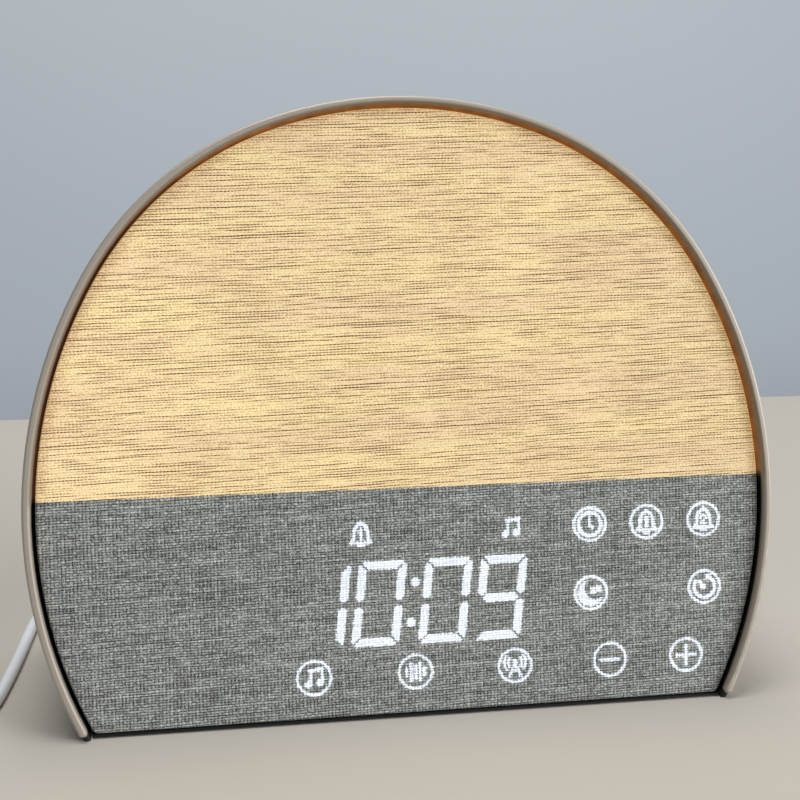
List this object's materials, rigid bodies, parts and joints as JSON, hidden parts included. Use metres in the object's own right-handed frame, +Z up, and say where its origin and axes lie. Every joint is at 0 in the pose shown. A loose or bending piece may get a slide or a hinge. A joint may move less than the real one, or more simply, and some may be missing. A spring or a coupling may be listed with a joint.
{
  "type": "sunrise alarm clock",
  "caption": "Free-standing wake-up light: leaning half-moon cloth face in an arched plastic hoop, glowing upper part, digits and ringed symbols behind the cloth, snooze key on top, power lead",
  "frame": {"origin": "on the table, below the middle of the case, without the lead", "axes": "+X to the right of a viewer facing the cloth, +Y to the rear, +Z up"},
  "size_m": [0.2826, 0.1339, 0.1703],
  "materials": {
    "shell_plastic": "fine matte texture, warm grey",
    "cloth": "linen-look plain weave, warm grey",
    "black_plastic": "fine matte texture, black",
    "milky_plastic": "milky, lets light through",
    "white_plastic": "white, smooth",
    "circuit_board": "green solder mask",
    "lamp_chip": "clear resin over yellow",
    "chip_plastic": "black moulding compound",
    "ribbon_film": "amber film",
    "shield_steel": "plated sheet",
    "screw_steel": "zinc plated",
    "magnet_iron": "dark sintered",
    "cone_paper": "pressed fibre, black",
    "black_rubber": "matte black",
    "wire_sleeve": "dull sleeve",
    "cord_plastic": "soft white",
    "tongue_plastic": "white, smooth"
  },
  "bodies": {
    "case": {"outer_shell": "shell_plastic", "front_fabric": "cloth", "front_frame": "black_plastic", "display_mask": "black_plastic", "rear_cover": "black_plastic", "base_plate": "black_plastic", "battery_door": "black_plastic", "dc_jack": "black_plastic", "display_housing": "black_plastic", "light_diffuser": "milky_plastic", "digit_guides": "milky_plastic", "icon_guides": "milky_plastic", "light_tray": "white_plastic", "board_connectors": "white_plastic", "snooze_switch": "white_plastic", "touch_board": "circuit_board", "lamp_board": "circuit_board", "main_board": "circuit_board", "snooze_board": "circuit_board", "warm_leds": "lamp_chip", "display_leds": "lamp_chip", "board_chips": "chip_plastic", "board_capacitors": "chip_plastic", "display_ribbon": "ribbon_film", "radio_module": "shield_steel", "battery_contacts": "shield_steel", "coin_cell": "shield_steel", "speaker_basket": "shield_steel", "jack_nut": "shield_steel", "dc_plug_barrel": "shield_steel", "usb_plug_shell": "shield_steel", "case_screws": "screw_steel", "frame_screws": "screw_steel", "board_screws": "screw_steel", "base_screws": "screw_steel", "speaker_screws": "screw_steel", "snooze_board_screws": "screw_steel", "battery_door_screw": "screw_steel", "speaker_magnet": "magnet_iron", "edge_pads": "black_rubber", "rubber_feet": "black_rubber", "speaker_surround": "black_rubber", "speaker_gasket": "black_rubber", "lamp_harness": "wire_sleeve", "speaker_harness": "wire_sleeve", "jack_harness": "wire_sleeve", "key_harness": "wire_sleeve", "dc_plug_body": "cord_plastic", "cord_relief": "cord_plastic", "power_cord": "cord_plastic", "cord_coil": "cord_plastic", "cord_tail": "cord_plastic", "usb_plug_body": "cord_plastic", "usb_plug_tongue": "tongue_plastic"},
    "snooze_key": {"snooze_button": "shell_plastic", "switch_plunger": "chip_plastic"},
    "cone": {"speaker_cone": "cone_paper"}
  },
  "joints": [
    {"name": "snooze_press", "type": "slide", "parent": "case", "child": "snooze_key", "axis": [0, -0.1736, -0.9848], "range_m": [0, 0.0008], "stiffness_N_per_m": 1500},
    {"name": "cone_travel", "type": "slide", "parent": "case", "child": "cone", "axis": [0, 1, 0], "range_m": [-0.0015, 0.0015], "stiffness_N_per_m": 1200, "deforming": ["speaker_surround"]}
  ]
}
